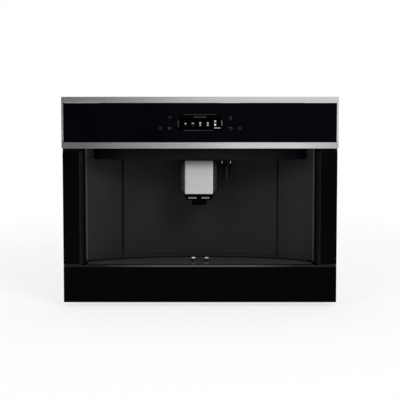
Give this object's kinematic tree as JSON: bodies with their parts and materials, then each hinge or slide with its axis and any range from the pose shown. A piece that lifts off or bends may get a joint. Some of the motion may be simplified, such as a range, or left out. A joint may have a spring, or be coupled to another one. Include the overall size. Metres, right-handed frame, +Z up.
{
  "type": "built-in coffee machine",
  "caption": "Built-in bean-to-cup coffee machine on telescopic runners, with a curved cup recess, sliding spout, hinged service door and pull-out drip drawer.",
  "frame": {"origin": "middle of the footprint, on the shelf that the runner brackets stand on", "axes": "+X to the right as seen from the room, +Y into the cabinet, +Z up"},
  "size_m": [0.595, 0.474, 0.455],
  "materials": {
    "steel_trim": "brushed along its length",
    "spout_steel": "satin",
    "black_glass": "printed black behind, polished",
    "recess_grey": "satin",
    "dark_trim": "satin gloss",
    "black_moulding": "fine texture",
    "zinc_sheet": "zinc plated",
    "rail_steel": "zinc plated",
    "tray_plate": "polished dark plate",
    "chrome": "polished",
    "clear_tank": "translucent",
    "grey_moulding": "moulded",
    "circuit": "coated board",
    "burr_steel": "hardened",
    "hose": "silicone",
    "lamp_lens": "frosted",
    "aluminium_body": "cast"
  },
  "bodies": {
    "cabinet_rails": {"runner_brackets": "zinc_sheet", "rear_tie_bar": "zinc_sheet", "fixed_rails": "rail_steel"},
    "middle_sections": {"middle_rails": "rail_steel"},
    "machine": {"inner_rails": "rail_steel", "base_plate": "zinc_sheet", "side_panels": "zinc_sheet", "rear_panel": "zinc_sheet", "top_panel": "zinc_sheet", "inner_deck": "zinc_sheet", "head_plate": "zinc_sheet", "head_frame": "steel_trim", "control_glass": "black_glass", "head_carrier": "black_moulding", "display_module": "circuit", "column_glasses": "black_glass", "right_column_carrier": "black_moulding", "left_column_carrier": "black_moulding", "handle_strips": "dark_trim", "right_recess_wall": "recess_grey", "left_recess_wall": "recess_grey", "door_surround": "black_moulding", "canopy": "dark_trim", "cup_lamps": "lamp_lens", "bean_hopper": "clear_tank", "preground_funnel": "black_moulding", "tank_seat": "grey_moulding", "grinder_housing": "grey_moulding", "upper_burr": "burr_steel", "grinder_motor": "aluminium_body", "infuser_frame": "grey_moulding", "brew_piston": "grey_moulding", "boiler": "aluminium_body", "water_pump": "grey_moulding", "hoses": "hose", "power_board": "circuit", "mains_inlet": "black_moulding"},
    "service_door": {"service_door": "recess_grey", "door_hinge_pins": "rail_steel", "spout_guide": "black_moulding", "hot_water_outlet": "black_moulding"},
    "coffee_spout": {"spout_cover": "spout_steel", "spout_body": "black_moulding", "spout_light_bars": "lamp_lens"},
    "hot_water_spout": {"hot_water_spout": "black_moulding"},
    "drip_drawer": {"lower_glass": "black_glass", "lower_carrier": "black_moulding", "lower_trim": "steel_trim", "drip_tray": "black_moulding", "grounds_container": "black_moulding", "cup_grille": "tray_plate", "tray_studs": "chrome"},
    "water_tank": {"water_tank": "clear_tank"},
    "tank_lid": {"tank_lid": "grey_moulding"},
    "bean_lid": {"bean_lid": "clear_tank"},
    "preground_lid": {"preground_lid": "grey_moulding"},
    "grind_knob": {"grind_knob": "black_moulding"},
    "grinder_burr": {"lower_burr": "burr_steel"},
    "brew_chamber": {"brew_chamber": "grey_moulding"},
    "main_switch": {"main_switch": "black_moulding"}
  },
  "joints": [
    {"name": "machine_slide", "type": "slide", "parent": "cabinet_rails", "child": "machine", "axis": [0, -1, 0], "range_m": [0, 0.35]},
    {"name": "middle_slide", "type": "slide", "parent": "cabinet_rails", "child": "middle_sections", "axis": [0, -1, 0], "range_m": [0, 0.175]},
    {"name": "service_door_hinge", "type": "hinge", "parent": "machine", "child": "service_door", "pos_m": [-0.1694, -0.14153, 0.2], "axis": [0, 0, -1], "range_deg": [0, 95]},
    {"name": "spout_slide", "type": "slide", "parent": "service_door", "child": "coffee_spout", "axis": [0, 0, 1], "range_m": [-0.05, 0]},
    {"name": "hot_spout_pull", "type": "slide", "parent": "service_door", "child": "hot_water_spout", "axis": [0, -1, 0], "range_m": [0, 0.04]},
    {"name": "drawer_slide", "type": "slide", "parent": "machine", "child": "drip_drawer", "axis": [0, -1, 0], "range_m": [0, 0.3]},
    {"name": "tank_lift", "type": "slide", "parent": "machine", "child": "water_tank", "axis": [0, 0, 1], "range_m": [0, 0.2]},
    {"name": "tank_lid_hinge", "type": "hinge", "parent": "water_tank", "child": "tank_lid", "pos_m": [0.17, 0.09, 0.4445], "axis": [-1, 0, 0], "range_deg": [0, 100]},
    {"name": "bean_lid_hinge", "type": "hinge", "parent": "machine", "child": "bean_lid", "pos_m": [-0.14, 0.104, 0.4445], "axis": [-1, 0, 0], "range_deg": [0, 100]},
    {"name": "preground_lid_hinge", "type": "hinge", "parent": "machine", "child": "preground_lid", "pos_m": [0, -0.046, 0.4445], "axis": [-1, 0, 0], "range_deg": [0, 100]},
    {"name": "grind_knob_turn", "type": "hinge", "parent": "machine", "child": "grind_knob", "pos_m": [0, 0.07, 0.44], "axis": [0, 0, 1], "range_deg": [-135, 135]},
    {"name": "burr_spin", "type": "hinge", "parent": "machine", "child": "grinder_burr", "pos_m": [-0.14, 0.01, 0.28], "axis": [0, 0, 1], "continuous": true},
    {"name": "brew_lift", "type": "slide", "parent": "machine", "child": "brew_chamber", "axis": [0, 0, 1], "range_m": [0, 0.05]},
    {"name": "main_switch_rock", "type": "hinge", "parent": "machine", "child": "main_switch", "pos_m": [-0.15, 0.2295, 0.06], "axis": [1, 0, 0], "range_deg": [-8, 8]}
  ],
  "couplings": [
    {"joint": "middle_slide", "follows": "machine_slide", "ratio": 0.5}
  ]
}
